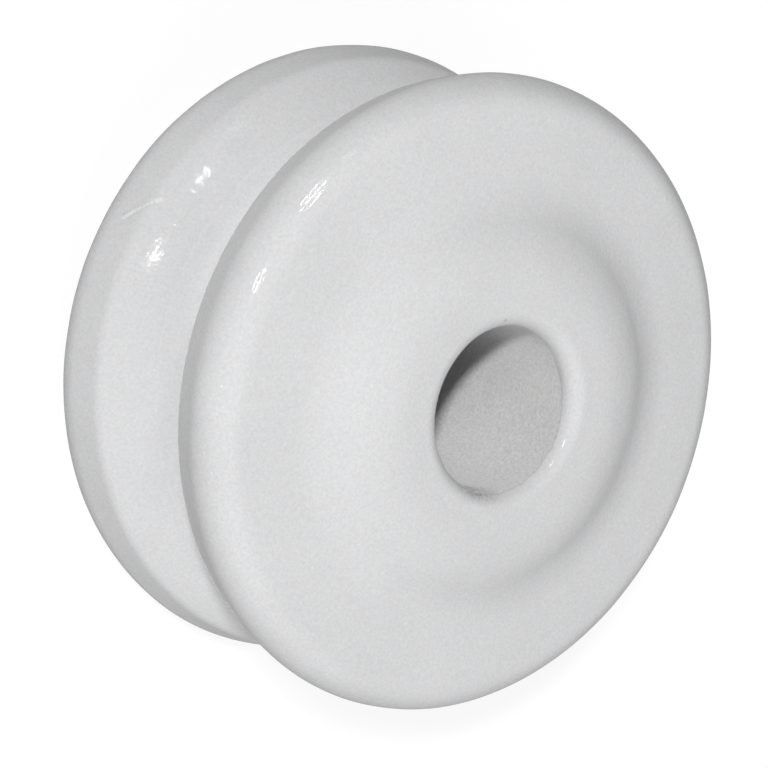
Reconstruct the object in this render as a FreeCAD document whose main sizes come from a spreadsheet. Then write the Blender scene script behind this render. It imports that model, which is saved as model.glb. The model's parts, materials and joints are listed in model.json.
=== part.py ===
import FreeCAD, Part

import math
import os

import Sketcher
from FreeCAD import Vector

# Fence corner insulator: one glazed porcelain spool with a wire groove between two
# rounded flanges and a raised boss round a plain bore. Millimetres and degrees.
# The bore runs along Z and the groove's middle plane is Z = 0.

NODE = "insulator_body"

SIZES = [
    ("OverallHeight", 32.0, "over both boss ends"),
    ("FlangeDiameter", 57.0, "over the rims"),
    ("BoreDiameter", 14.6, "straight part of the bore"),
    ("BoreLipRadius", 1.6, "rounded mouth of the bore"),
    ("BossLandDiameter", 21.4, "flat end of the boss"),
    ("BossCrownRadius", 11.5, "rolls the flat end over into the flank"),
    ("BossFlankAngle", 28.4, "slope of the flank from the flat end"),
    ("BossFlankLength", 0.25, "straight part of the flank"),
    ("BossFootRadius", 10.4, "hollow sweep from the flank to the flange face"),
    ("FaceTaper", 3.9, "fall of the flange face towards the rim"),
    ("RimShoulderRadius", 3.1, "outer shoulder of the rim"),
    ("RimLandWidth", 2.3, "straight part of the rim"),
    ("RimDraft", 13.5, "lean of the rim's straight part towards the groove"),
    ("GrooveShoulderRadius", 1.8, "inner shoulder of the rim"),
    ("GrooveWallRadius", 16.0, "slight bulge of the groove's wall"),
    ("GrooveRootDiameter", 41.4, "at the bottom of the wire groove"),
    ("GrooveRootRadius", 3.2, "section of the groove's bottom"),
]


def add_sheet(doc):
    """Put the driving sizes in a spreadsheet, one alias for each."""
    sheet = doc.addObject("Spreadsheet::Sheet", "Sizes")
    for row, (alias, value, note) in enumerate(SIZES, start=1):
        sheet.set(f"A{row}", alias)
        sheet.set(f"B{row}", str(value))
        sheet.set(f"C{row}", note)
        sheet.setAlias(f"B{row}", alias)
    doc.recompute()
    return sheet


def origin_plane(body, role):
    """One of the body's own base planes."""
    return next(item for item in body.Origin.OriginFeatures if item.Role == role)


def add_sketch(body, name, role):
    """A sketch flat on one of the body's base planes."""
    sketch = body.newObject("Sketcher::SketchObject", name)
    sketch.AttachmentSupport = (origin_plane(body, role), [""])
    sketch.MapMode = "FlatFace"
    return sketch


def drive(sketch, name, constraint, formula):
    """Add a named size to a sketch and bind it to the sheet."""
    index = sketch.addConstraint(constraint)
    sketch.renameConstraint(index, name)
    sketch.setExpression(f"Constraints.{name}", formula)


def polar(centre, radius, degrees):
    """Point of a section circle at an angle from the outward direction."""
    angle = math.radians(degrees)
    return centre + Vector(radius * math.cos(angle), radius * math.sin(angle), 0)


def arc(centre, radius, start, end):
    """Anticlockwise section arc between two angles in degrees."""
    circle = Part.Circle(centre, Vector(0, 0, 1), radius)
    return Part.ArcOfCircle(circle, math.radians(start), math.radians(end))


def bearing(centre, place):
    """Angle of a section point seen from a centre, from the outward direction in degrees."""
    return math.degrees(math.atan2(place.y - centre.y, place.x - centre.x))


def meeting_point(first, first_radius, second, second_radius):
    """The crossing of an upper and a lower section circle that lies nearer to the axis."""
    between = second - first
    along = (first_radius ** 2 - second_radius ** 2 + between.Length ** 2) / (2 * between.Length)
    aside = math.sqrt(first_radius ** 2 - along ** 2)
    between.normalize()
    return first + between * along + Vector(between.y, -between.x, 0) * aside


def upper_outline(sheet):
    """Section edges above the middle plane, from the axis out and down into the groove.

    Each entry is an edge and which of its two ends comes first along the outline.
    """
    top = sheet.OverallHeight / 2
    rim = sheet.FlangeDiameter / 2
    flank = sheet.BossFlankAngle
    taper = sheet.FaceTaper
    draft = sheet.RimDraft

    land_end = Vector(sheet.BossLandDiameter / 2, top, 0)
    crown = land_end - Vector(0, sheet.BossCrownRadius, 0)
    flank_start = polar(crown, sheet.BossCrownRadius, 90 - flank)
    flank_end = polar(flank_start, sheet.BossFlankLength, -flank)
    foot = polar(flank_end, sheet.BossFootRadius, 90 - flank)
    foot_end = polar(foot, sheet.BossFootRadius, 270 - taper)

    # The face falls at its taper until the shoulder arc, which rolls over the widest circle.
    shoulder_run = rim - sheet.RimShoulderRadius - foot_end.x
    shoulder_run += sheet.RimShoulderRadius * math.sin(math.radians(taper))
    face_end = foot_end + Vector(shoulder_run, -shoulder_run * math.tan(math.radians(taper)), 0)
    shoulder = polar(face_end, sheet.RimShoulderRadius, 270 - taper)
    rim_top = polar(shoulder, sheet.RimShoulderRadius, -draft)
    rim_bottom = polar(rim_top, sheet.RimLandWidth, -90 - draft)

    # The groove wall is a wide arc that touches the inner shoulder and the root arc.
    inner = polar(rim_bottom, sheet.GrooveShoulderRadius, 180 - draft)
    root = Vector(sheet.GrooveRootDiameter / 2 + sheet.GrooveRootRadius, 0, 0)
    wall = meeting_point(inner, sheet.GrooveWallRadius - sheet.GrooveShoulderRadius,
                         root, sheet.GrooveWallRadius + sheet.GrooveRootRadius)
    wall_top = bearing(wall, inner)
    wall_bottom = bearing(wall, root)

    edges = [
        ("land", Part.LineSegment(Vector(0, top, 0), land_end), 1),
        ("crown", arc(crown, sheet.BossCrownRadius, 90 - flank, 90), 2),
        ("flank", Part.LineSegment(flank_start, flank_end), 1),
        ("foot", arc(foot, sheet.BossFootRadius, 270 - flank, 270 - taper), 1),
        ("face", Part.LineSegment(foot_end, face_end), 1),
        ("shoulder", arc(shoulder, sheet.RimShoulderRadius, -draft, 90 - taper), 2),
        ("rim", Part.LineSegment(rim_top, rim_bottom), 1),
        ("inner", arc(inner, sheet.GrooveShoulderRadius, wall_top, -draft), 2),
        ("wall", arc(wall, sheet.GrooveWallRadius, wall_bottom, wall_top), 2),
    ]
    root_arc = arc(root, sheet.GrooveRootRadius, 180 + wall_bottom, 180 - wall_bottom)
    return edges, root_arc


def mirrored(edge):
    """The same section edge below the middle plane, with the ends of an arc swapped."""
    if isinstance(edge, Part.LineSegment):
        start, end = edge.StartPoint, edge.EndPoint
        return Part.LineSegment(Vector(start.x, -start.y, 0), Vector(end.x, -end.y, 0))
    centre = Vector(edge.Center.x, -edge.Center.y, 0)
    start = -math.degrees(edge.LastParameter)
    end = -math.degrees(edge.FirstParameter)
    return arc(centre, edge.Radius, start, end)


def draw_section(sketch, sheet):
    """Draw the whole section: the upper outline, its mirror image, the root and the axis."""
    edges, root_arc = upper_outline(sheet)
    upper = {}
    lower = {}
    first = {}
    for name, edge, start in edges:
        upper[name] = sketch.addGeometry(edge)
        lower[name] = sketch.addGeometry(mirrored(edge))
        first[name] = start
    root = sketch.addGeometry(root_arc)
    top = edges[0][1].StartPoint
    axis = sketch.addGeometry(Part.LineSegment(Vector(0, -top.y, 0), top))

    # Along the upper outline each edge runs smoothly into the next.
    order = [name for name, edge, start in edges]
    for name, following in zip(order, order[1:]):
        end, start = 3 - first[name], first[following]
        sketch.addConstraint(
            Sketcher.Constraint("Tangent", upper[name], end, upper[following], start))
    sketch.addConstraint(Sketcher.Constraint("Tangent", upper["wall"], 1, root, 1))
    sketch.addConstraint(Sketcher.Constraint("Coincident", upper["land"], 1, axis, 2))

    # The lower outline is the upper one seen in the middle plane.
    for name, edge, start in edges:
        end = 3 - start
        low_start, low_end = start, end
        if not isinstance(edge, Part.LineSegment):
            low_start, low_end = end, start
            sketch.addConstraint(Sketcher.Constraint("Equal", upper[name], lower[name]))
        sketch.addConstraint(
            Sketcher.Constraint("Symmetric", upper[name], end, lower[name], low_end, -1))
        if name == "land":
            sketch.addConstraint(Sketcher.Constraint("Coincident", lower[name], low_start, axis, 1))
        else:
            sketch.addConstraint(
                Sketcher.Constraint("Coincident", lower[name], low_start, *previous))
        previous = (lower[name], low_end)
    sketch.addConstraint(Sketcher.Constraint("Coincident", root, 2, *previous))
    sketch.addConstraint(Sketcher.Constraint("Symmetric", axis, 1, axis, 2, -1, 1))
    sketch.addConstraint(Sketcher.Constraint("PointOnObject", axis, 2, -2))
    sketch.addConstraint(Sketcher.Constraint("Horizontal", upper["land"]))

    constraint = Sketcher.Constraint
    edge = dict((name, item) for name, item, start in edges)
    drive(sketch, "overall_height",
          constraint("DistanceY", axis, 1, axis, 2, 2 * top.y),
          "Sizes.OverallHeight")
    drive(sketch, "land_radius",
          constraint("DistanceX", upper["land"], 1, upper["land"], 2, edge["land"].EndPoint.x),
          "Sizes.BossLandDiameter / 2")
    drive(sketch, "crown_radius",
          constraint("Radius", upper["crown"], edge["crown"].Radius),
          "Sizes.BossCrownRadius")
    drive(sketch, "flank_angle",
          constraint("Angle", upper["flank"], -math.radians(sheet.BossFlankAngle)),
          "-Sizes.BossFlankAngle")
    drive(sketch, "flank_length",
          constraint("Distance", upper["flank"], sheet.BossFlankLength),
          "Sizes.BossFlankLength")
    drive(sketch, "foot_radius",
          constraint("Radius", upper["foot"], edge["foot"].Radius),
          "Sizes.BossFootRadius")
    drive(sketch, "face_taper",
          constraint("Angle", upper["face"], -math.radians(sheet.FaceTaper)),
          "-Sizes.FaceTaper")
    drive(sketch, "shoulder_radius",
          constraint("Radius", upper["shoulder"], edge["shoulder"].Radius),
          "Sizes.RimShoulderRadius")
    drive(sketch, "shoulder_centre",
          constraint("DistanceX", -1, 1, upper["shoulder"], 3, edge["shoulder"].Center.x),
          "Sizes.FlangeDiameter / 2 - Sizes.RimShoulderRadius")
    drive(sketch, "rim_land",
          constraint("Distance", upper["rim"], sheet.RimLandWidth),
          "Sizes.RimLandWidth")
    drive(sketch, "rim_draft",
          constraint("Angle", upper["rim"], -math.radians(90 + sheet.RimDraft)),
          "-90 - Sizes.RimDraft")
    drive(sketch, "inner_radius",
          constraint("Radius", upper["inner"], edge["inner"].Radius),
          "Sizes.GrooveShoulderRadius")
    drive(sketch, "wall_radius",
          constraint("Radius", upper["wall"], edge["wall"].Radius),
          "Sizes.GrooveWallRadius")
    drive(sketch, "root_radius",
          constraint("Radius", root, root_arc.Radius),
          "Sizes.GrooveRootRadius")
    drive(sketch, "root_centre",
          constraint("DistanceX", -1, 1, root, 3, root_arc.Center.x),
          "Sizes.GrooveRootDiameter / 2 + Sizes.GrooveRootRadius")


def bore_edges(shape, sheet):
    """Names of the two sharp edges where the bore leaves the boss ends."""
    names = []
    for number, edge in enumerate(shape.Edges, start=1):
        curve = edge.Curve
        if not isinstance(curve, Part.Circle):
            continue
        on_bore = abs(curve.Radius - sheet.BoreDiameter / 2) < 1e-6
        on_end = abs(abs(curve.Center.z) - sheet.OverallHeight / 2) < 1e-6
        if on_bore and on_end:
            names.append(f"Edge{number}")
    return names


def build_insulator(doc, sheet):
    """Spin the section about the bore axis, bore it through and round the bore's mouths."""
    body = doc.addObject("PartDesign::Body", "Insulator")
    body.Label = NODE
    body.Placement = FreeCAD.Placement()

    section = add_sketch(body, "Section", "XZ_Plane")
    draw_section(section, sheet)
    spool = body.newObject("PartDesign::Revolution", "Spool")
    spool.Profile = section
    spool.ReferenceAxis = (section, ["V_Axis"])
    spool.Angle = 360

    circle = add_sketch(body, "BoreCircle", "XY_Plane")
    edge = circle.addGeometry(Part.Circle(Vector(0, 0, 0), Vector(0, 0, 1), sheet.BoreDiameter / 2))
    circle.addConstraint(Sketcher.Constraint("Coincident", edge, 3, -1, 1))
    drive(circle, "bore",
          Sketcher.Constraint("Diameter", edge, float(sheet.BoreDiameter)),
          "Sizes.BoreDiameter")
    bore = body.newObject("PartDesign::Pocket", "Bore")
    bore.Profile = circle
    bore.Type = "ThroughAll"
    bore.SideType = "Symmetric"
    doc.recompute()

    lips = body.newObject("PartDesign::Fillet", "BoreLips")
    lips.Base = (bore, bore_edges(bore.Shape, sheet))
    lips.Radius = sheet.BoreLipRadius
    lips.setExpression("Radius", "Sizes.BoreLipRadius")
    body.Tip = lips
    return body


def check(doc, body):
    """Stop before anything is written if an object failed or the solid is not sound."""
    for item in doc.Objects:
        if "Invalid" in item.State or "Error" in item.State:
            raise RuntimeError(f"{item.Name} failed: {item.State}")
    if body.Shape.isNull() or not body.Shape.isValid() or len(body.Shape.Solids) != 1:
        raise RuntimeError(f"{body.Label} is not one sound solid")


def main():
    doc = FreeCAD.newDocument("FenceCornerInsulator")
    sheet = add_sheet(doc)
    body = build_insulator(doc, sheet)
    doc.recompute()
    check(doc, body)
    os.makedirs("parts", exist_ok=True)
    body.Shape.exportStep(f"parts/{body.Label}.step")


main()
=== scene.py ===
import json
import logging
import math
from dataclasses import dataclass
from enum import Enum

import bpy
import numpy as np
from mathutils import Matrix, Vector


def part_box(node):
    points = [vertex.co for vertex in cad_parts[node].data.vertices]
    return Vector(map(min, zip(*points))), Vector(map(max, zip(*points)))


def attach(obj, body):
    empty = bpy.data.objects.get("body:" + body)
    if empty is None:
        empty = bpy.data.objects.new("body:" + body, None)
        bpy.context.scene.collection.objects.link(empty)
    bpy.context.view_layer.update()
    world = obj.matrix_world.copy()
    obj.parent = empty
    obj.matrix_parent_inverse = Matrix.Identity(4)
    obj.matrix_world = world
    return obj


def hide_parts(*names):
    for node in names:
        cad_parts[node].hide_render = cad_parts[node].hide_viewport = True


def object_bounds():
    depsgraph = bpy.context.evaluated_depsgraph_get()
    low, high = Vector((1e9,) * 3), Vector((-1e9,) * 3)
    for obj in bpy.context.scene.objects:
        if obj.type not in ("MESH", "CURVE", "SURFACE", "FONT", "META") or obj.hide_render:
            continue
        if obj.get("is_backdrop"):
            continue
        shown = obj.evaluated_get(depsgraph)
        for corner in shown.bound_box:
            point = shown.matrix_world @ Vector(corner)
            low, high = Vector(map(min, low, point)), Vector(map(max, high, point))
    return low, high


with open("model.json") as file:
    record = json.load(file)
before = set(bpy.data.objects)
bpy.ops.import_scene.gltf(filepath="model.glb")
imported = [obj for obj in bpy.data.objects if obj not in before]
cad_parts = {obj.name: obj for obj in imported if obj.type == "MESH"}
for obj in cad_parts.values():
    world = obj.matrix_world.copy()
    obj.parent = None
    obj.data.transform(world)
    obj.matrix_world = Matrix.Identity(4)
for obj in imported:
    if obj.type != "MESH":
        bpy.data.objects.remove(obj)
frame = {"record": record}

LOG = logging.getLogger("insulator")
MM = 0.001
NODE = "insulator_body"
SIZE_DIGITS = 7

Pair = tuple[float, float]
Triple = tuple[float, float, float]
Colour = tuple[float, float, float, float]
Socket = bpy.types.NodeSocket
# What a node's input can take: another node's output, or a plain value.
Feed = Socket | Vector | float | tuple

UP: Triple = (0.0, 0.0, 1.0)
# Factors that keep only a position's parts across the bore axis.
ACROSS: Triple = (1.0, 1.0, 0.0)


class Side(Enum):
    """Which way a section arc bends: its centre lies in the porcelain or in the air."""

    CONVEX = 1
    HOLLOW = -1


def tilt_vector(degrees: float) -> np.ndarray:
    """Unit normal in the section at a tilt from the bore axis, as (radius, height)."""
    return np.array([math.sin(math.radians(degrees)), math.cos(math.radians(degrees))])


def travel_vector(degrees: float) -> np.ndarray:
    """Unit vector along the section at a tilt, in the way the chain runs, as (radius, height)."""
    return np.array([math.cos(math.radians(degrees)), -math.sin(math.radians(degrees))])


def tilt_of(vector: np.ndarray) -> float:
    """Tilt of a (radius, height) vector from the bore axis, in degrees."""
    return math.degrees(math.atan2(vector[0], vector[1]))


def meeting_point(first: tuple[np.ndarray, float], second: tuple[np.ndarray, float]) -> np.ndarray:
    """Where two section circles cross, nearer to the axis of the two crossings.

    A crossing lies along the line between the centres, and as far aside from it as the first
    circle's radius allows.

    Args:
        first: Centre and radius of one circle.
        second: Centre and radius of the other.

    Returns:
        The crossing as (radius, height).
    """
    between = second[0] - first[0]
    gap = float(np.linalg.norm(between))
    step = between / gap
    along = (first[1] ** 2 - second[1] ** 2 + gap ** 2) / (2 * gap)
    aside = math.sqrt(first[1] ** 2 - along ** 2) * np.array([-step[1], step[0]])
    foot = first[0] + along * step
    return min(foot - aside, foot + aside, key=lambda place: place[0])


def joined(stretches: list[np.ndarray]) -> np.ndarray:
    """One chain of stretches that each start where the last one ends, with no point repeated."""
    return np.concatenate([stretches[0]] + [stretch[1:] for stretch in stretches[1:]])


@dataclass(frozen=True)
class SpoolSection:
    """Half section of the spool, in metres: radius outwards, height from the middle plane.

    The section is a chain of straight lines and arcs, each tangent to the next. Its tilt is
    the angle of the outward normal from the bore axis: minus 90 degrees on the bore wall,
    0 on the boss end, 90 on the rim and 180 at most in the groove.
    """

    height: float
    flange_diameter: float
    bore_diameter: float
    lip_radius: float
    boss_land_diameter: float = 21.4 * MM
    boss_crown_radius: float = 11.5 * MM
    boss_flank_tilt: float = 28.4
    boss_flank_length: float = 0.25 * MM
    boss_foot_radius: float = 10.4 * MM
    face_tilt: float = 3.9
    rim_shoulder_radius: float = 3.1 * MM
    rim_land_width: float = 2.3 * MM
    rim_draft: float = 13.5
    groove_shoulder_radius: float = 1.8 * MM
    groove_root_diameter: float = 41.4 * MM
    groove_root_radius: float = 3.2 * MM
    groove_wall_radius: float = 16.0 * MM
    longest_step: float = 0.55 * MM
    widest_turn: float = 6.5

    def arc(self, centre: np.ndarray, radius: float, tilts: Pair, side: Side) -> np.ndarray:
        """Points of an arc whose normal turns evenly from one tilt to the other.

        A point is the centre plus the radius along its normal, or minus it on a hollow arc.

        Args:
            centre: Radius and height of the arc's centre.
            radius: Radius of the arc.
            tilts: First and last tilt in degrees.
            side: Whether the centre lies in the porcelain or in the air.

        Returns:
            An array of (radius, height) rows from the first tilt to the last.
        """
        turn = abs(tilts[1] - tilts[0])
        steps = max(turn / self.widest_turn, radius * math.radians(turn) / self.longest_step)
        tilt = np.radians(np.linspace(*tilts, max(2, math.ceil(steps)) + 1))
        return centre + side.value * radius * np.stack([np.sin(tilt), np.cos(tilt)], axis=1)

    def line(self, start: np.ndarray, end: np.ndarray) -> np.ndarray:
        """Evenly spaced points from start to end, both included."""
        steps = max(1, math.ceil(float(np.linalg.norm(end - start)) / self.longest_step))
        return start + np.linspace(0.0, 1.0, steps + 1)[:, None] * (end - start)

    def bore_and_boss(self) -> np.ndarray:
        """The chain from the middle of the bore wall over the lip and the boss to its foot.

        Returns:
            An array of (radius, height) rows.
        """
        top = self.height / 2
        bore = self.bore_diameter / 2
        land = self.boss_land_diameter / 2
        flank, face = self.boss_flank_tilt, self.face_tilt

        lip_centre = np.array([bore + self.lip_radius, top - self.lip_radius])
        lip = self.arc(lip_centre, self.lip_radius, (-90.0, 0.0), Side.CONVEX)
        wall = self.line(np.array([bore, 0.0]), lip[0])
        crown_centre = np.array([land, top - self.boss_crown_radius])
        crown = self.arc(crown_centre, self.boss_crown_radius, (0.0, flank), Side.CONVEX)
        end = self.line(lip[-1], crown[0])
        flank_end = crown[-1] + self.boss_flank_length * travel_vector(flank)
        flank_line = self.line(crown[-1], flank_end)
        foot_centre = flank_end + self.boss_foot_radius * tilt_vector(flank)
        foot = self.arc(foot_centre, self.boss_foot_radius, (flank, face), Side.HOLLOW)
        return joined([wall, lip, end, crown, flank_line, foot])

    def face_and_rim(self, foot: np.ndarray) -> np.ndarray:
        """The chain over the face and the rim: the face falls until the rim's shoulder takes over.

        Args:
            foot: Where the boss's foot ends, as (radius, height).

        Returns:
            An array of (radius, height) rows.
        """
        rim = self.flange_diameter / 2
        slope = math.radians(self.face_tilt)
        start = rim - self.rim_shoulder_radius * (1 - math.sin(slope))
        drop = (start - foot[0]) * math.tan(slope)
        face_end = np.array([start, foot[1] - drop])
        face_line = self.line(foot, face_end)

        land_tilt = 90.0 + self.rim_draft
        shoulder_centre = face_end - self.rim_shoulder_radius * tilt_vector(self.face_tilt)
        shoulder_tilts = (self.face_tilt, land_tilt)
        shoulder = self.arc(shoulder_centre, self.rim_shoulder_radius, shoulder_tilts, Side.CONVEX)
        rim_end = shoulder[-1] + self.rim_land_width * travel_vector(land_tilt)
        return joined([face_line, shoulder, self.line(shoulder[-1], rim_end)])

    def groove(self, rim_end: np.ndarray) -> np.ndarray:
        """The chain down the groove: its bulging wall touches the inner shoulder and the root.

        Args:
            rim_end: Where the rim's land ends, as (radius, height).

        Returns:
            An array of (radius, height) rows that ends on the middle plane.
        """
        land_tilt = 90.0 + self.rim_draft
        inner_centre = rim_end - self.groove_shoulder_radius * tilt_vector(land_tilt)
        root_centre = np.array([self.groove_root_diameter / 2 + self.groove_root_radius, 0.0])
        wall_centre = meeting_point(
            (inner_centre, self.groove_wall_radius - self.groove_shoulder_radius),
            (root_centre, self.groove_wall_radius + self.groove_root_radius))
        top, low = (tilt_of(centre - wall_centre) for centre in (inner_centre, root_centre))
        inner = self.arc(inner_centre, self.groove_shoulder_radius, (land_tilt, top), Side.CONVEX)
        wall = self.arc(wall_centre, self.groove_wall_radius, (top, low), Side.CONVEX)
        root = self.arc(root_centre, self.groove_root_radius, (low, 90.0), Side.HOLLOW)
        return joined([inner, wall, root])

    def loop(self) -> np.ndarray:
        """The whole section as a closed loop: the upper half, then its mirror image.

        Returns:
            An array of (radius, height) rows, with no point repeated.
        """
        boss = self.bore_and_boss()
        rim = self.face_and_rim(boss[-1])
        upper = joined([boss, rim, self.groove(rim[-1])])
        lower = upper[-2:0:-1] * np.array([1.0, -1.0])
        return np.concatenate([upper, lower])


@dataclass(frozen=True)
class GlazeRipple:
    """The faint unevenness that a poured glaze leaves: a sum of plane waves.

    The height at a point is a sum of cosines of the point's distance along random directions,
    each with its own wavelength and phase, so it has no seam round the spool. A wave is as
    high as its length allows for the slope, which all the waves share.
    """

    shortest: float = 3.0 * MM
    longest: float = 14.0 * MM
    slope: float = 0.010
    waves: int = 72
    seed: int = 4

    def depth(self, points: np.ndarray) -> np.ndarray:
        """How far the surface lies below the nominal one.

        Args:
            points: Positions, one row each.

        Returns:
            A depth for each point, never negative, in metres.
        """
        random = np.random.default_rng(self.seed)
        ways = random.normal(size=(self.waves, 3))
        ways /= np.linalg.norm(ways, axis=1, keepdims=True)
        lengths = np.geomspace(self.shortest, self.longest, self.waves)
        phases = random.uniform(0.0, 2 * math.pi, self.waves)
        heights = self.slope * lengths / (2 * math.pi * math.sqrt(self.waves / 2))
        turns = points @ (ways / lengths[:, None]).T
        wave = np.cos(2 * math.pi * turns + phases) @ heights
        return wave.max() - wave


def spin(section: np.ndarray, angle: np.ndarray) -> np.ndarray:
    """Spin rows of (radius, height) about Z: a point is (radius cos a, radius sin a, height).

    Args:
        section: Rows of (radius, height).
        angle: The angles, in radians.

    Returns:
        A grid of (x, y, z), with a row for each section point and a column for each angle.
    """
    radius = section[:, :1]
    height = np.broadcast_to(section[:, 1:], (len(section), len(angle)))
    return np.stack([radius * np.cos(angle), radius * np.sin(angle), height], axis=-1)


@dataclass
class InsulatorSpool:
    """The porcelain spool: the section spun about the bore axis and rippled by its glaze."""

    section: SpoolSection
    ripple: GlazeRipple = GlazeRipple()
    spokes: int = 384

    def grid(self) -> np.ndarray:
        """Points of the surface on a grid of section points by spokes.

        A point of the spun section is moved inwards along the surface normal by the ripple's
        depth. The normal is square to the line between the section's next and last points.

        Returns:
            An array of shape (section points, spokes, 3).
        """
        loop = self.section.loop()
        angle = np.arange(self.spokes) * 2 * math.pi / self.spokes
        along = np.roll(loop, -1, axis=0) - np.roll(loop, 1, axis=0)
        normal = np.stack([-along[:, 1], along[:, 0]], axis=1)
        normal /= np.linalg.norm(normal, axis=1, keepdims=True)
        points = spin(loop, angle)
        depth = self.ripple.depth(points.reshape(-1, 3)).reshape(points.shape[:2])
        return points - depth[..., None] * spin(normal, angle)

    def build(self) -> bpy.types.Object:
        """Make the mesh object: one closed sheet of quads whose faces point outwards.

        Returns:
            The spool, at the origin.
        """
        grid = self.grid()
        rows, spokes = grid.shape[:2]
        number = np.arange(rows * spokes).reshape(rows, spokes)
        after = np.roll(number, -1, axis=0)
        beside = np.roll(number, -1, axis=1)
        corner = np.roll(after, -1, axis=1)
        quads = np.stack([number, after, corner, beside], axis=-1).reshape(-1, 4)
        mesh = bpy.data.meshes.new("insulator_spool")
        mesh.from_pydata(grid.reshape(-1, 3), [], quads)
        mesh.polygons.foreach_set("use_smooth", np.ones(len(quads), dtype=bool))
        mesh.update()
        spool = bpy.data.objects.new("insulator_spool", mesh)
        bpy.context.scene.collection.objects.link(spool)
        return spool

    def dress(self, spool: bpy.types.Object, material: bpy.types.Material) -> None:
        """Give the spool its finish and let it stand for its CAD node.

        Args:
            spool: The spool's object.
            material: Its finish.
        """
        spool.data.materials.append(material)
        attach(spool, "root")
        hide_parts(NODE)


class NodeSheet:
    """The node tree of a material or a world, with short ways to lay and join its nodes."""

    def __init__(self, owner: bpy.types.ID) -> None:
        """Start an empty node tree.

        Args:
            owner: The material or the world.
        """
        owner.use_nodes = True
        self.owner = owner
        self.nodes = owner.node_tree.nodes
        self.links = owner.node_tree.links
        self.nodes.clear()

    def add(self, kind: str, **settings: object) -> bpy.types.Node:
        """Lay a shader node.

        Args:
            kind: The node's type after the word ShaderNode.
            settings: Values of the node's own options.

        Returns:
            The new node.
        """
        node = self.nodes.new(f"ShaderNode{kind}")
        for option, value in settings.items():
            setattr(node, option, value)
        return node

    def join(self, source: Feed, target: Socket) -> None:
        """Link an output to an input, or write a plain value on the input.

        Args:
            source: The output or the plain value.
            target: The input.
        """
        if isinstance(source, Socket):
            self.links.new(source, target)
        else:
            target.default_value = source

    def fill(self, node: bpy.types.Node, *values: Feed) -> bpy.types.Node:
        """Join values to a node's inputs in their order, from the first input on.

        Args:
            node: The node.
            values: The outputs or plain values.

        Returns:
            The same node.
        """
        for value, socket in zip(values, node.inputs):
            self.join(value, socket)
        return node

    def math(self, operation: str, *values: Feed) -> Socket:
        """Join two or three values by a Math node's operation."""
        return self.fill(self.add("Math", operation=operation), *values).outputs[0]

    def vectors(self, operation: str, *values: Feed) -> bpy.types.Node:
        """Join vectors by a Vector Math node's operation, and give the node."""
        return self.fill(self.add("VectorMath", operation=operation), *values)

    def dot(self, vector: Feed, other: Feed) -> Socket:
        """Dot product of two vectors."""
        return self.vectors("DOT_PRODUCT", vector, other).outputs["Value"]

    def length(self, vector: Feed) -> Socket:
        """Length of a vector."""
        return self.vectors("LENGTH", vector).outputs["Value"]

    def shifted(self, vector: Feed, shift: Feed) -> Socket:
        """A vector plus another one."""
        return self.vectors("ADD", vector, shift).outputs[0]

    def scaled(self, vector: Feed, factors: Feed) -> Socket:
        """A vector with each part times its own factor."""
        return self.vectors("MULTIPLY", vector, factors).outputs[0]

    def away(self, place: Feed, point: Triple) -> Socket:
        """The way from a fixed point to a place."""
        return self.shifted(place, tuple(-value for value in point))

    def noise(self, place: Feed, scale: float, detail: float = 2.0) -> Socket:
        """Smooth random values about one half.

        Args:
            place: The position.
            scale: Bumps to the metre.
            detail: How many finer layers are added.

        Returns:
            The value.
        """
        node = self.add("TexNoise")
        node.inputs["Scale"].default_value = scale
        node.inputs["Detail"].default_value = detail
        self.join(place, node.inputs["Vector"])
        return node.outputs["Fac"]

    def span(self, value: Feed, start: float, end: float, low: float = 0.0, high: float = 1.0,
             straight: bool = False) -> Socket:
        """Turn a value that runs from start to end into one that eases from low to high.

        Args:
            value: The value.
            start: Where the result is low.
            end: Where the result is high.
            low: The result at and before the start.
            high: The result at and past the end.
            straight: Whether the result runs evenly in between, without easing.

        Returns:
            The result.
        """
        kind = "LINEAR" if straight else "SMOOTHSTEP"
        node = self.add("MapRange", interpolation_type=kind)
        return self.fill(node, value, start, end, low, high).outputs["Result"]

    def blend(self, factor: Feed, first: Feed, second: Feed, mode: str = "MIX") -> Socket:
        """Blend two colours.

        Args:
            factor: The second colour's share.
            first: The first colour.
            second: The second colour.
            mode: The blend type.

        Returns:
            The blended colour.
        """
        node = self.add("Mix", data_type="RGBA", blend_type=mode)
        # The node's inputs for colours come after those for numbers and vectors.
        self.join(factor, node.inputs[0])
        self.join(first, node.inputs[6])
        self.join(second, node.inputs[7])
        return node.outputs[2]

    def seen_straight(self) -> Socket:
        """One on rays from the camera, from a glossy face or through something clear."""
        path = self.add("LightPath").outputs
        seen = self.math("MAXIMUM", path["Is Camera Ray"], path["Is Glossy Ray"])
        return self.math("MAXIMUM", seen, path["Is Transmission Ray"])

    def end(self, shader: Socket) -> None:
        """Send a shader to the output of the material or the world."""
        kind = "World" if isinstance(self.owner, bpy.types.World) else "Material"
        self.join(shader, self.add(f"Output{kind}").inputs["Surface"])


@dataclass(frozen=True)
class Flat:
    """A tiny flat on a rim: what would stand past its reach along its normal is missing."""

    normal: Triple
    reach: float

    def depth(self, sheet: NodeSheet, place: Socket) -> Socket:
        """How far the round rim would stand past the flat, and nought elsewhere."""
        past = sheet.math("SUBTRACT", sheet.dot(place, self.normal), self.reach)
        return sheet.math("MAXIMUM", past, 0.0)


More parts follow.
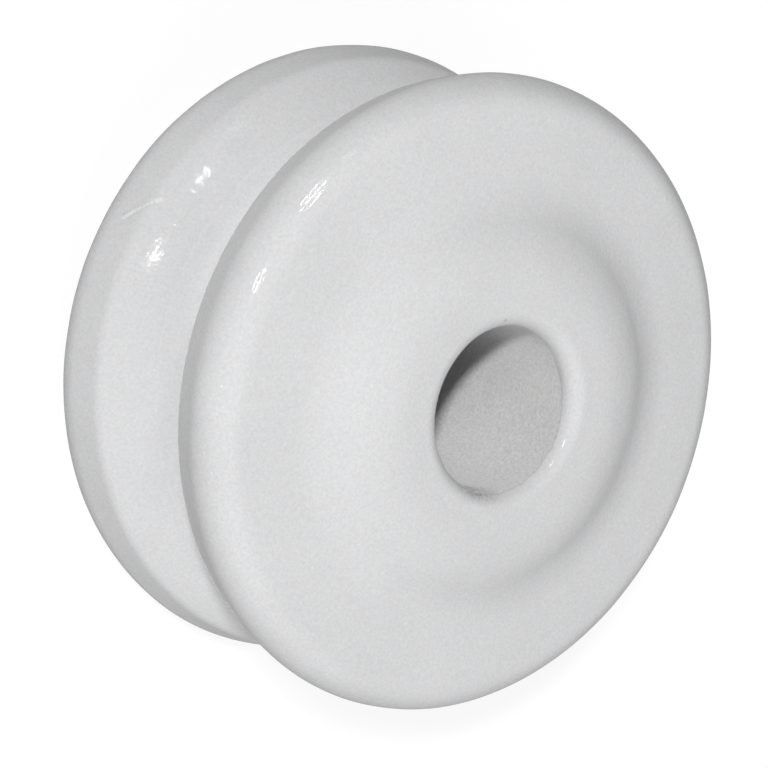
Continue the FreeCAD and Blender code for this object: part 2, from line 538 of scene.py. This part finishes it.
@dataclass(frozen=True)
class PaintedGlintThread:
    """A thread on a rim: a row of fine raised teeth that lean towards the light; its level also paints
    it near-white as a painted glint.

    Its start and end are places on the rim, and its height falls along its facing.
    """

    start: Triple = (-4.93 * MM, -27.75 * MM, -8.38 * MM)
    end: Triple = (-7.42 * MM, -26.33 * MM, -6.04 * MM)
    width: float = 0.32 * MM
    teeth: float = 9.0
    tooth_depth: float = 0.3
    bead_scale: float = 2600.0
    bead_width: float = 0.14 * MM
    facing: Triple = (0.564, -0.200, 0.720)
    lean: float = 0.60

    def level(self, sheet: NodeSheet, place: Socket) -> Socket:
        """One along the thread and nought beside it.

        The distance from a stretch is that from its nearest point, which lies at the share of
        the stretch that the position's projection on it gives, kept from nought to one.

        Args:
            sheet: The material's node sheet.
            place: The position on the object.

        Returns:
            The thread's level, toothed by a sine along it.
        """
        stretch = Vector(self.end) - Vector(self.start)
        start = sheet.away(place, self.start)
        along = sheet.dot(start, stretch / stretch.length_squared)
        share = sheet.span(along, 0.0, 1.0, straight=True)
        nearest = sheet.add("VectorMath", operation="SCALE")
        nearest.inputs[0].default_value = -stretch
        sheet.join(share, nearest.inputs["Scale"])
        distance = sheet.length(sheet.shifted(start, nearest.outputs[0]))
        beads = sheet.noise(place, self.bead_scale)
        beaded = sheet.math("MULTIPLY_ADD", beads, -self.bead_width, distance)
        near = sheet.span(beaded, 0.0, self.width, 1.0, 0.0)
        sine = sheet.math("SINE", sheet.math("MULTIPLY", along, 2 * math.pi * self.teeth))
        toothed = sheet.math("MULTIPLY_ADD", sine, self.tooth_depth, 1.0 - self.tooth_depth)
        return sheet.math("MULTIPLY", near, toothed)

    def slope(self, sheet: NodeSheet, place: Socket, unit: float) -> Socket:
        """The leaning thread's height over its rim, which falls along its facing.

        Args:
            sheet: The material's node sheet.
            place: The position on the object.
            unit: The height that counts as one.

        Returns:
            The height.
        """
        start = Vector(self.start).dot(Vector(self.facing))
        across = sheet.math("SUBTRACT", sheet.dot(place, self.facing), start)
        return sheet.math("MULTIPLY", across, -self.lean / unit)


@dataclass(frozen=True)
class LipStain:
    """The speckled grey stain on the bore's lip, drawn out along the lip."""

    colour: Colour = (0.34, 0.33, 0.32, 1.0)
    centre: Triple = (7.25 * MM, 0.1 * MM, 14.5 * MM)
    reach: float = 1.65 * MM
    squeeze: Triple = (1.0, 0.45, 0.6)
    speck_scale: float = 3600.0
    speck_edge: Pair = (0.38, 0.64)
    between_specks: float = 0.25

    def level(self, sheet: NodeSheet, place: Socket) -> Socket:
        """How strong the stain is: it fades with the distance from its centre, and in specks.

        Args:
            sheet: The material's node sheet.
            place: The position on the object.

        Returns:
            The level.
        """
        distance = sheet.length(sheet.scaled(sheet.away(place, self.centre), self.squeeze))
        near = sheet.span(distance, 0.0, self.reach, 1.0, 0.0)
        grain = sheet.noise(place, self.speck_scale)
        specks = sheet.span(grain, *self.speck_edge, self.between_specks, 1.0)
        return sheet.math("MULTIPLY", near, specks)


@dataclass(frozen=True)
class BrownSpot:
    """The small brownish spot beside the bore."""

    colour: Colour = (0.50, 0.47, 0.44, 1.0)
    centre: Triple = (-7.26 * MM, -3.62 * MM, 15.74 * MM)
    reach: float = 0.30 * MM
    core: float = 0.06 * MM
    strength: float = 0.6

    def level(self, sheet: NodeSheet, place: Socket) -> Socket:
        """How strong the spot is: it fades from its core to its reach."""
        distance = sheet.length(sheet.away(place, self.centre))
        return sheet.span(distance, self.core, self.reach, self.strength, 0.0)


@dataclass(frozen=True)
class BareBody:
    """Where the body is bare of glaze: deep in the bore, and on the flat end it was fired on.

    The glaze's line in the bore lies at its depth under the boss end, slants a little and
    wavers. The bare part ends at the lip's side, which is given as radii past the bore's own.
    """

    colour: Colour = (0.708, 0.708, 0.706, 1.0)
    waver_scale: float = 600.0
    waver_detail: float = 3.0
    depth: float = 1.35 * MM
    waver_depth: float = 0.8 * MM
    fade: float = 0.15 * MM
    line_normal: Triple = (-0.07, 0.0, 1.0)
    lip_side: Pair = (1.0 * MM, 1.1 * MM)
    end_waver: float = 0.12 * MM
    end_fade: Pair = (0.02 * MM, 0.08 * MM)

    def level(self, sheet: NodeSheet, place: Socket, radius: Socket, bore: float, top: float) -> Socket:
        """One on the bore wall and the lower flat end, nought on the glaze.

        Args:
            sheet: The material's node sheet.
            place: The position on the object.
            radius: The position's distance from the bore axis.
            bore: Radius of the bore.
            top: Height of the boss end over the middle plane.

        Returns:
            The level, with a wavering edge.
        """
        waver = sheet.noise(place, self.waver_scale, self.waver_detail)
        height = sheet.math("ABSOLUTE", sheet.dot(place, self.line_normal))
        wavering = sheet.math("MULTIPLY_ADD", waver, self.waver_depth, height)
        # The noise is about one half, so the line moves by half of what it adds.
        line = top - self.depth + self.waver_depth / 2
        deep = sheet.span(wavering, line - self.fade, line + self.fade, 1.0, 0.0)
        side = [bore + past for past in self.lip_side]
        inside = sheet.math("MULTIPLY", deep, sheet.span(radius, *side, 1.0, 0.0))
        over_end = sheet.math("ADD", sheet.dot(place, UP), top)
        over_end = sheet.math("MULTIPLY_ADD", waver, -self.end_waver, over_end)
        return sheet.math("MAXIMUM", inside, sheet.span(over_end, *self.end_fade, 1.0, 0.0))


@dataclass(frozen=True)
class PorcelainGlaze:
    """White glazed porcelain, bare and matt in the bore and on the flat end it was fired on.

    The glaze has a nearly neutral white with soft clouds and a fine grain, scattered tiny raised
    dots and one raised thread on a rim, both painted near-white as painted glints, and a faint
    orange peel, smoother towards the bore. It is duller in the groove's root. Where it ends its
    edge wavers and has a thin line of painted shade, and the bare body behind it is grainier.
    Scales are bumps to the metre.
    """

    bore_radius: float
    half_height: float
    colour: Colour = (0.802, 0.804, 0.812, 1.0)
    # Painted highlight: the near-white of the dots and the thread stands in for glints.
    painted_glint_colour: Colour = (0.95, 0.95, 0.95, 1.0)
    bare: BareBody = BareBody()
    thread: PaintedGlintThread = PaintedGlintThread()
    stain: LipStain = LipStain()
    spot: BrownSpot = BrownSpot()
    flats: tuple[Flat, ...] = (
        Flat((-0.0742, -0.6196, 0.7814), 26.580 * MM),
        Flat((-0.2523, -0.5638, 0.7864), 26.440 * MM),
        Flat((-0.3733, -0.5431, 0.7521), 27.182 * MM),
    )
    edge_shade: float = 0.84
    cloud_scale: float = 95.0
    cloud_detail: float = 3.0
    cloud_edge: Pair = (0.3, 0.7)
    cloud_depth: float = 0.03
    grain_scale: float = 3900.0
    grain_depth: float = 0.22
    bare_grain_depth: float = 0.46
    dot_scale: float = 420.0
    dot_radius: float = 0.13 * MM
    dot_core: float = 0.3
    dot_height: float = 0.014 * MM
    peel_scale: float = 1100.0
    peel_height: float = 0.034 * MM
    fine_peel_scale: float = 2600.0
    fine_peel_share: float = 0.09
    smooth_radius: Pair = (8.6 * MM, 10.5 * MM)
    smooth_share: float = 0.35
    roughness: float = 0.12
    root_roughness: float = 0.38
    root_edge: Pair = (2.6 * MM, 4.6 * MM)
    bare_roughness: float = 0.55
    bare_diffuse_roughness: float = 0.7
    refraction: float = 1.5
    mirror_level: float = 0.4
    scatter_share: float = 0.08
    scatter_parts: Triple = (1.0, 0.8, 0.65)
    scatter_depth: float = 1.0 * MM

    def dots(self, sheet: NodeSheet, place: Socket) -> Socket:
        """One at the middle of the scattered dots and nought between them.

        Args:
            sheet: The material's node sheet.
            place: The position on the object.

        Returns:
            The dots' level.
        """
        cells = sheet.add("TexVoronoi")
        cells.inputs["Scale"].default_value = self.dot_scale
        sheet.join(place, cells.inputs["Vector"])
        reach = self.dot_radius * self.dot_scale
        return sheet.span(cells.outputs["Distance"], self.dot_core * reach, reach, 1.0, 0.0)

    def tone(self, sheet: NodeSheet, place: Socket, bare: Socket) -> Socket:
        """Brightness factor of the clouds, the grain and the painted shade at the glaze's edge, about
        one.

        Args:
            sheet: The material's node sheet.
            place: The position on the object.
            bare: Level of the bare body, which is one half in the middle of the glaze's edge.

        Returns:
            The factor.
        """
        clouds = sheet.noise(place, self.cloud_scale, self.cloud_detail)
        half = self.cloud_depth / 2
        cloud = sheet.span(clouds, *self.cloud_edge, 1.0 - half, 1.0 + half)
        grain = sheet.math("SUBTRACT", sheet.noise(place, self.grain_scale, 1.0), 0.5)
        depth = sheet.span(bare, 0.0, 1.0, self.grain_depth, self.bare_grain_depth)
        factor = sheet.math("MULTIPLY", cloud, sheet.math("MULTIPLY_ADD", grain, depth, 1.0))
        # Painted shade: a darker line where the glaze ends.
        edge = sheet.math("PINGPONG", bare, 0.5)
        return sheet.math("MULTIPLY", factor, sheet.span(edge, 0.0, 0.5, 1.0, self.edge_shade))

    def relief(self, sheet: NodeSheet, place: Socket, radius: Socket, dots: Socket,
               thread: Socket) -> Socket:
        """Normal of the peel, the flats, the dots and the thread.

        Heights are counted in peel heights, the bump's own distance.

        Args:
            sheet: The material's node sheet.
            place: The position on the object.
            radius: The position's distance from the bore axis.
            dots: Level of the dots.
            thread: Level of the thread.

        Returns:
            The bumped normal.
        """
        peel = sheet.noise(place, self.peel_scale)
        fine = sheet.noise(place, self.fine_peel_scale, 1.0)
        height = sheet.math("MULTIPLY_ADD", fine, self.fine_peel_share, peel)
        smoother = sheet.span(radius, *self.smooth_radius, self.smooth_share, 1.0)
        height = sheet.math("MULTIPLY", height, smoother)
        for flat in self.flats:
            depth = flat.depth(sheet, place)
            height = sheet.math("MULTIPLY_ADD", depth, -1.0 / self.peel_height, height)
        height = sheet.math("MULTIPLY_ADD", dots, self.dot_height / self.peel_height, height)
        slope = self.thread.slope(sheet, place, self.peel_height)
        height = sheet.math("MULTIPLY_ADD", thread, slope, height)
        bump = sheet.add("Bump")
        bump.inputs["Distance"].default_value = self.peel_height
        sheet.join(height, bump.inputs["Height"])
        return bump.outputs[0]

    def sheen(self, sheet: NodeSheet, place: Socket, bare: Socket) -> Socket:
        """Roughness: the glaze's own, more in the groove's root and most on the bare body.

        Args:
            sheet: The material's node sheet.
            place: The position on the object.
            bare: Level of the bare body.

        Returns:
            The roughness.
        """
        glazed = sheet.span(bare, 0.0, 1.0, self.roughness, self.bare_roughness)
        height = sheet.math("ABSOLUTE", sheet.dot(place, UP))
        root = sheet.span(height, *self.root_edge, self.root_roughness, self.roughness)
        return sheet.math("MAXIMUM", glazed, root)

    def material(self) -> bpy.types.Material:
        """Make the node material.

        Returns:
            The material, which reads Object coordinates alone.
        """
        material = bpy.data.materials.new("porcelain_glaze")
        sheet = NodeSheet(material)
        place = sheet.add("TexCoord").outputs["Object"]
        radius = sheet.length(sheet.scaled(place, ACROSS))
        bare = self.bare.level(sheet, place, radius, self.bore_radius, self.half_height)
        dots = self.dots(sheet, place)
        thread = self.thread.level(sheet, place)
        colour = sheet.blend(bare, self.colour, self.bare.colour)
        # Painted highlight: the dots and the thread are painted near-white as glints, over their bump.
        colour = sheet.blend(sheet.math("MAXIMUM", dots, thread), colour, self.painted_glint_colour)
        for mark in (self.stain, self.spot):
            colour = sheet.blend(mark.level(sheet, place), colour, mark.colour)
        colour = sheet.blend(1.0, colour, self.tone(sheet, place, bare), "MULTIPLY")

        shader = sheet.add("BsdfPrincipled")
        matt = sheet.math("MULTIPLY", bare, self.bare_diffuse_roughness)
        feeds = {
            "Base Color": colour,
            "Roughness": self.sheen(sheet, place, bare),
            "Diffuse Roughness": matt,
            "Normal": self.relief(sheet, place, radius, dots, thread),
            "IOR": self.refraction,
            "Specular IOR Level": self.mirror_level,
            "Subsurface Weight": self.scatter_share,
            "Subsurface Radius": self.scatter_parts,
            "Subsurface Scale": self.scatter_depth,
        }
        for name, feed in feeds.items():
            sheet.join(feed, shader.inputs[name])
        sheet.end(shader.outputs[0])
        return material


def direction(azimuth: float, elevation: float) -> Vector:
    """Unit vector at an azimuth from +X and an elevation above the floor, in degrees."""
    turn, rise = math.radians(azimuth), math.radians(elevation)
    return Vector((math.cos(turn) * math.cos(rise), math.sin(turn) * math.cos(rise), math.sin(rise)))


@dataclass(frozen=True)
class Lamp:
    """A rectangular lamp that hangs round the object and faces it.

    Azimuth 0 lies towards +X and 90 towards +Y; elevation is above the floor. The spread is
    how wide and how high the lamp looks from the object, in degrees, and the level is how
    bright a white matt face turned to the lamp renders by it alone.
    """

    name: str
    azimuth: float
    elevation: float
    spread: Pair
    level: float
    shows: bool = False
    distance: float = 0.70

    def hang(self) -> None:
        """Make the lamp and turn it to the origin.

        Its power follows from its level: a matt white face renders as bright as the lamp's
        power over pi squared times the distance squared. A lamp that doesn't show lights the
        glaze without a glint of its own.
        """
        light = bpy.data.lights.new(self.name, "AREA")
        light.shape = "RECTANGLE"
        sides = [2 * self.distance * math.tan(math.radians(side / 2)) for side in self.spread]
        light.size, light.size_y = sides
        light.energy = self.level * (math.pi * self.distance) ** 2
        lamp = bpy.data.objects.new(self.name, light)
        towards = direction(self.azimuth, self.elevation)
        axes = towards.to_track_quat("Z", "Y").to_matrix()
        lamp.matrix_world = Matrix.Translation(towards * self.distance) @ axes.to_4x4()
        lamp.visible_glossy = self.shows
        bpy.context.scene.collection.objects.link(lamp)


@dataclass(frozen=True)
class Studio:
    """Plain pale floor, a ring of lamps and an even pale surround.

    Seen straight, in a reflection or through something clear, the floor is white round the
    object and eases off to the pale grey of the surround, both dimmer in a reflection. On the
    object they cast only the plain light of a pale floor and a dim room.
    """

    floor_height: float
    floor_size: float = 6.0
    floor_colour: Colour = (0.50, 0.50, 0.50, 1.0)
    white_part: float = 0.86
    shadow_part: Colour = (0.20, 0.20, 0.20, 1.0)
    white_reach: Pair = (0.10, 0.30)
    far_part: float = 0.60
    mirrored_share: float = 0.32
    backdrop_colour: Colour = (1.0, 1.0, 1.0, 1.0)
    backdrop_level: float = 0.80
    mirrored_backdrop: float = 0.35
    room_colour: Colour = (0.93, 0.96, 1.0, 1.0)
    room_level: float = 0.02
    lamps: tuple[Lamp, ...] = (
        Lamp("key", -102.0, 46.5, (5.0, 3.0), 0.565),
        Lamp("flash", -104.0, 48.0, (2.2, 1.6), 0.075, shows=True),
        Lamp("window", -137.0, 44.0, (3.2, 2.2), 0.045, shows=True),
        Lamp("far_window", -152.0, 34.0, (4.0, 3.0), 0.006, shows=True),
        Lamp("top_fill", 15.0, 70.0, (25.0, 25.0), 0.090),
        Lamp("right_fill", 45.0, 42.0, (25.0, 25.0), 0.155),
        Lamp("lower_fill", 0.0, 42.0, (25.0, 25.0), 0.207),
    )

    def build(self) -> None:
        """Lay the floor, set the surround and hang the lamps."""
        half = self.floor_size / 2
        places = [(-half, -half), (half, -half), (half, half), (-half, half)]
        mesh = bpy.data.meshes.new("studio_floor")
        mesh.from_pydata([(x, y, self.floor_height) for x, y in places], [], [(0, 1, 2, 3)])
        floor = bpy.data.objects.new("studio_floor", mesh)
        floor.data.materials.append(self.floor_material())
        bpy.context.scene.collection.objects.link(floor)
        floor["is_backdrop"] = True
        bpy.context.scene.world = self.surround()
        for lamp in self.lamps:
            lamp.hang()

    def floor_material(self) -> bpy.types.Material:
        """Make a pale matt floor, seen white round the object, that keeps its faint shadow.

        Returns:
            The floor's material.
        """
        material = bpy.data.materials.new("studio_floor")
        sheet = NodeSheet(material)
        plain = sheet.add("BsdfDiffuse")
        plain.inputs["Color"].default_value = self.floor_colour
        faint = sheet.add("BsdfDiffuse")
        faint.inputs["Color"].default_value = self.shadow_part
        glow = sheet.add("Emission")
        distance = sheet.length(sheet.add("TexCoord").outputs["Object"])
        level = sheet.span(distance, *self.white_reach, self.white_part, self.far_part)
        mirrored = sheet.add("LightPath").outputs["Is Glossy Ray"]
        dimmed = sheet.span(mirrored, 0.0, 1.0, 1.0, self.mirrored_share)
        sheet.join(sheet.math("MULTIPLY", level, dimmed), glow.inputs["Strength"])
        white = sheet.fill(sheet.add("AddShader"), faint.outputs[0], glow.outputs[0])
        mix = sheet.fill(sheet.add("MixShader"), sheet.seen_straight(), plain.outputs[0],
                         white.outputs[0])
        sheet.end(mix.outputs[0])
        return material

    def surround(self) -> bpy.types.World:
        """Make a pale backdrop where it is seen, and a dim room for the light it casts.

        Returns:
            The world.
        """
        world = bpy.data.worlds.new("studio_surround")
        sheet = NodeSheet(world)
        room = sheet.add("Background")
        room.inputs["Color"].default_value = self.room_colour
        room.inputs["Strength"].default_value = self.room_level
        backdrop = sheet.add("Background")
        backdrop.inputs["Color"].default_value = self.backdrop_colour
        mirrored = sheet.add("LightPath").outputs["Is Glossy Ray"]
        levels = (self.backdrop_level, self.mirrored_backdrop)
        sheet.join(sheet.span(mirrored, 0.0, 1.0, *levels, straight=True), backdrop.inputs["Strength"])
        mix = sheet.fill(sheet.add("MixShader"), sheet.seen_straight(), room.outputs[0],
                         backdrop.outputs[0])
        sheet.end(mix.outputs[0])
        return world


@dataclass(frozen=True)
class PhotoCamera:
    """The camera at the photograph's viewing angle.

    It stands off along -Y, above the flange's plane, and is rolled so that the bore axis
    points right and down in the picture as it does in the photograph.
    """

    azimuth: float = -90.0
    elevation: float = 50.08
    distance: float = 253.8 * MM
    aim: Triple = (1.33 * MM, -0.56 * MM, -0.46 * MM)
    roll: float = 109.52
    lens: float = 131.6
    sensor: float = 36.0
    clip: Pair = (0.01, 20.0)

    def build(self) -> None:
        """Make the camera and set it as the scene's own."""
        data = bpy.data.cameras.new("photo_camera")
        data.lens = self.lens
        data.sensor_width = self.sensor
        data.clip_start, data.clip_end = self.clip
        camera = bpy.data.objects.new("photo_camera", data)
        place = direction(self.azimuth, self.elevation) * self.distance
        back = (place - Vector(self.aim)).normalized()
        level = Vector(UP).cross(back).normalized()
        up = back.cross(level)
        turn = math.radians(self.roll)
        right = level * math.cos(turn) + up * math.sin(turn)
        over = up * math.cos(turn) - level * math.sin(turn)
        axes = Matrix((right, over, back)).transposed()
        camera.matrix_world = Matrix.Translation(place) @ axes.to_4x4()
        bpy.context.scene.collection.objects.link(camera)
        bpy.context.scene.camera = camera


def section_from_frame() -> SpoolSection:
    """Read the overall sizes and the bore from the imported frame.

    Returns:
        The spool's section.
    """
    low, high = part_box(NODE)
    bore = next(mount for mount in frame["record"]["mounts"] if mount["name"] == "bore")
    height = high.z - low.z
    wall = bore["dims"]["length_mm"] * MM
    return SpoolSection(
        height=height,
        flange_diameter=high.x - low.x,
        bore_diameter=2 * bore["dims"]["r_mm"] * MM,
        lip_radius=(height - wall) / 2,
    )


def corners(box: tuple) -> list[list[float]]:
    """Two corners as plain lists of numbers."""
    return [[round(value, SIZE_DIGITS) for value in corner] for corner in box]


def main() -> None:
    """Build the spool, the studio and the camera; the floor lies at the bottom of the CAD parts' box.
    """
    logging.basicConfig(level=logging.INFO, format="%(name)s: %(message)s")
    cad_box = corners(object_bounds())
    bpy.context.scene.view_settings.view_transform = "Standard"

    section = section_from_frame()
    spool = InsulatorSpool(section)
    piece = spool.build()
    spool.dress(piece, PorcelainGlaze(section.bore_diameter / 2, section.height / 2).material())
    LOG.info("%s: %d faces", piece.name, len(piece.data.polygons))

    Studio(floor_height=cad_box[0][2]).build()
    PhotoCamera().build()


if __name__ == "__main__":
    main()
